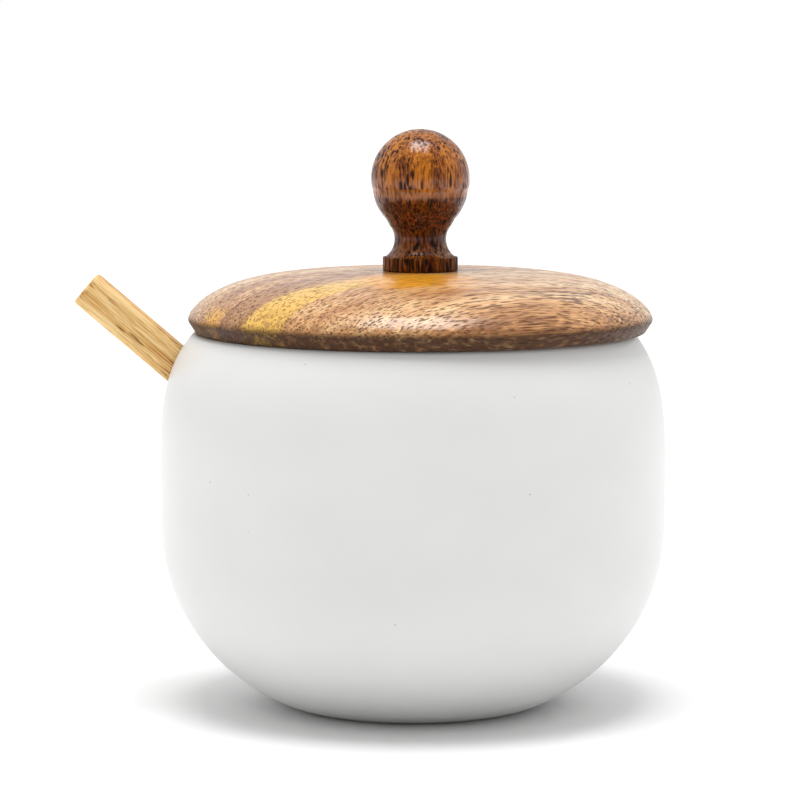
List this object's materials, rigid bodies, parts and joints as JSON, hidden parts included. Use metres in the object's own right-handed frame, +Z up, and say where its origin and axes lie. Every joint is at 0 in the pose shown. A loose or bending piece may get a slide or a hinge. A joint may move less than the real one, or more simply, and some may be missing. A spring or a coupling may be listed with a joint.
{
  "type": "sugar bowl",
  "caption": "Round white stoneware sugar bowl with a domed wooden lid and turned knob, and a wooden spoon resting in a notch in the rim.",
  "frame": {"origin": "centre of the pot's flat base", "axes": "+Z up along the pot's axis; -X towards the notch and the spoon's handle; the usual view looks along +Y"},
  "size_m": [0.1215, 0.104, 0.1185],
  "materials": {
    "white_glaze": "satin white glaze",
    "mango_wood": "oiled and lightly polished, streaked with yellow and brown",
    "dark_wood": "stained and lacquered, dark pores along the grain",
    "zinc_steel": "bright zinc",
    "pale_wood": "oiled, fine brown flecks along the grain"
  },
  "bodies": {
    "pot": {"pot": "white_glaze"},
    "lid": {"lid": "mango_wood", "lid_knob": "dark_wood", "lid_screw": "zinc_steel"},
    "spoon": {"spoon": "pale_wood"}
  },
  "joints": [
    {"name": "lid_lift", "type": "slide", "parent": "pot", "child": "lid", "axis": [0, 0, 1], "range_m": [0, 0.06]},
    {"name": "spoon_draw", "type": "slide", "parent": "pot", "child": "spoon", "axis": [-0.7604, 0, 0.6494], "range_m": [0, 0.046]}
  ]
}
